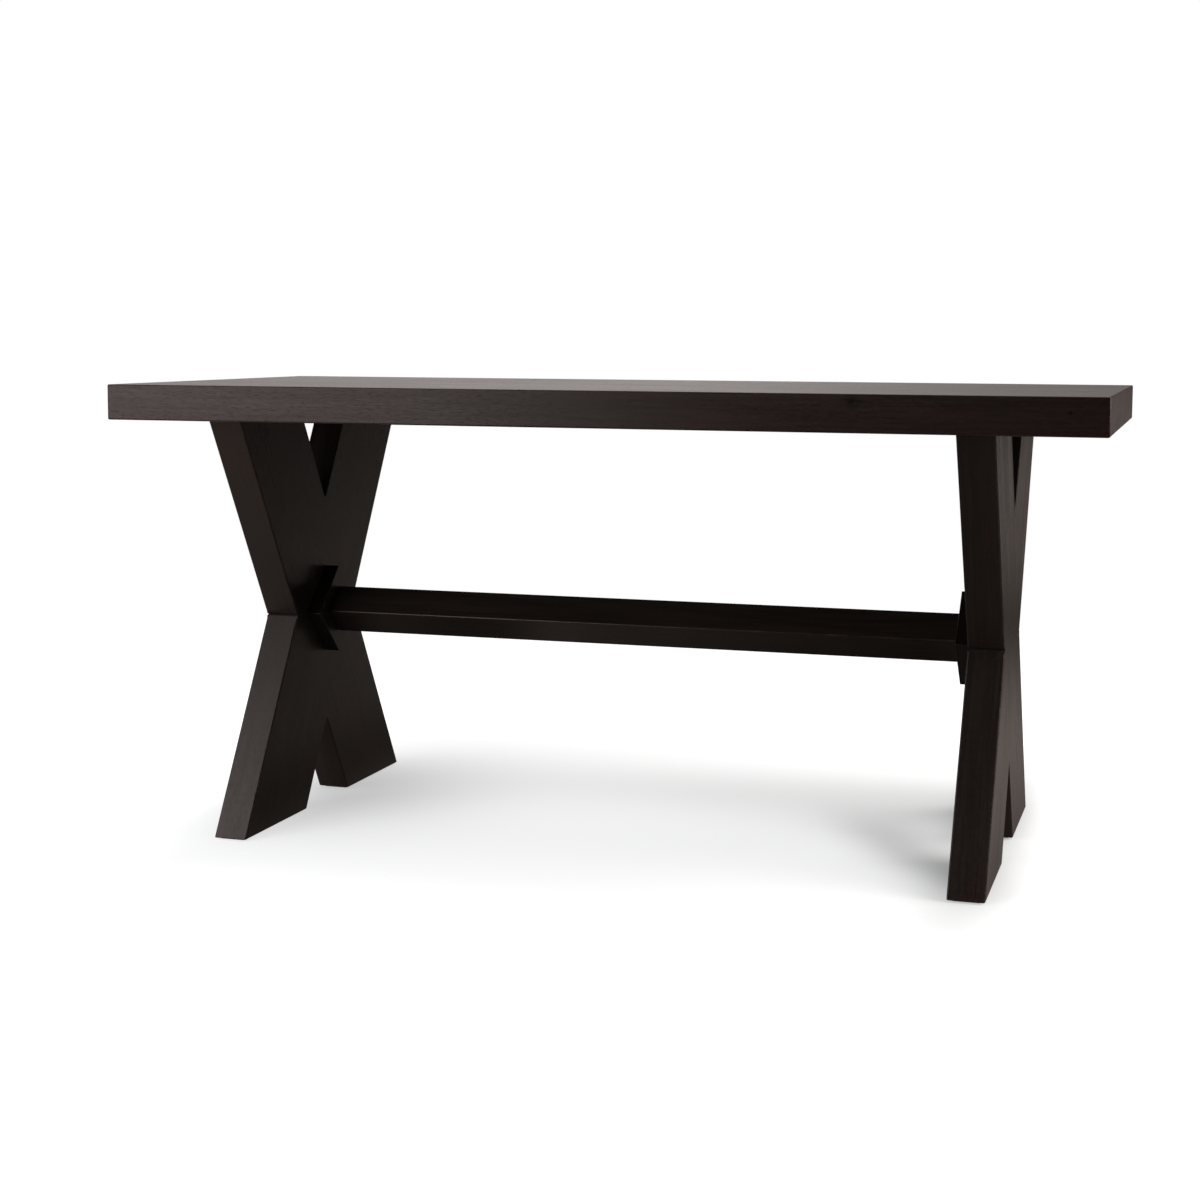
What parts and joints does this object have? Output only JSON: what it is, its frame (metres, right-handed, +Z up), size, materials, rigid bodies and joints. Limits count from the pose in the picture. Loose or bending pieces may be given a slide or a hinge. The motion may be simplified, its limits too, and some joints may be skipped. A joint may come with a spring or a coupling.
{
  "type": "counter height table",
  "caption": "Counter height trestle table: thick rectangular board top on X-shaped plank trestles, joined by a square stretcher turned on edge.",
  "frame": {"origin": "on the floor, below the middle of the table top", "axes": "+X along the table's length, +Y from the front to the back, +Z up"},
  "size_m": [1.93, 0.876, 0.914],
  "materials": {
    "stained_wood": "dark espresso stain under a satin clear coat",
    "dowel_wood": "bare beech",
    "steel": "zinc plated",
    "plate_paint": "black powder coat on flat steel",
    "pad_felt": "pressed felt"
  },
  "bodies": {
    "root": {"left_back_dowel": "dowel_wood", "left_back_foot_pad": "pad_felt", "left_barrel_nut": "steel", "left_bed_bolt": "steel", "left_board_screw_1": "steel", "left_board_screw_2": "steel", "left_board_screw_3": "steel", "left_board_screw_4": "steel", "left_board_screw_5": "steel", "left_bolt_plug": "stained_wood", "left_bolt_washer": "steel", "left_end_block": "stained_wood", "left_front_dowel": "dowel_wood", "left_front_foot_pad": "pad_felt", "left_inner_leg": "stained_wood", "left_leg_screw_1": "steel", "left_leg_screw_2": "steel", "left_leg_screw_3": "steel", "left_leg_screw_4": "steel", "left_mount_plate": "plate_paint", "left_outer_leg": "stained_wood", "right_back_dowel": "dowel_wood", "right_back_foot_pad": "pad_felt", "right_barrel_nut": "steel", "right_bed_bolt": "steel", "right_board_screw_1": "steel", "right_board_screw_2": "steel", "right_board_screw_3": "steel", "right_board_screw_4": "steel", "right_board_screw_5": "steel", "right_bolt_plug": "stained_wood", "right_bolt_washer": "steel", "right_end_block": "stained_wood", "right_front_dowel": "dowel_wood", "right_front_foot_pad": "pad_felt", "right_inner_leg": "stained_wood", "right_leg_screw_1": "steel", "right_leg_screw_2": "steel", "right_leg_screw_3": "steel", "right_leg_screw_4": "steel", "right_mount_plate": "plate_paint", "right_outer_leg": "stained_wood", "stretcher": "stained_wood", "top_board_1": "stained_wood", "top_board_2": "stained_wood", "top_board_3": "stained_wood", "top_board_4": "stained_wood", "top_board_5": "stained_wood"}
  },
  "joints": []
}
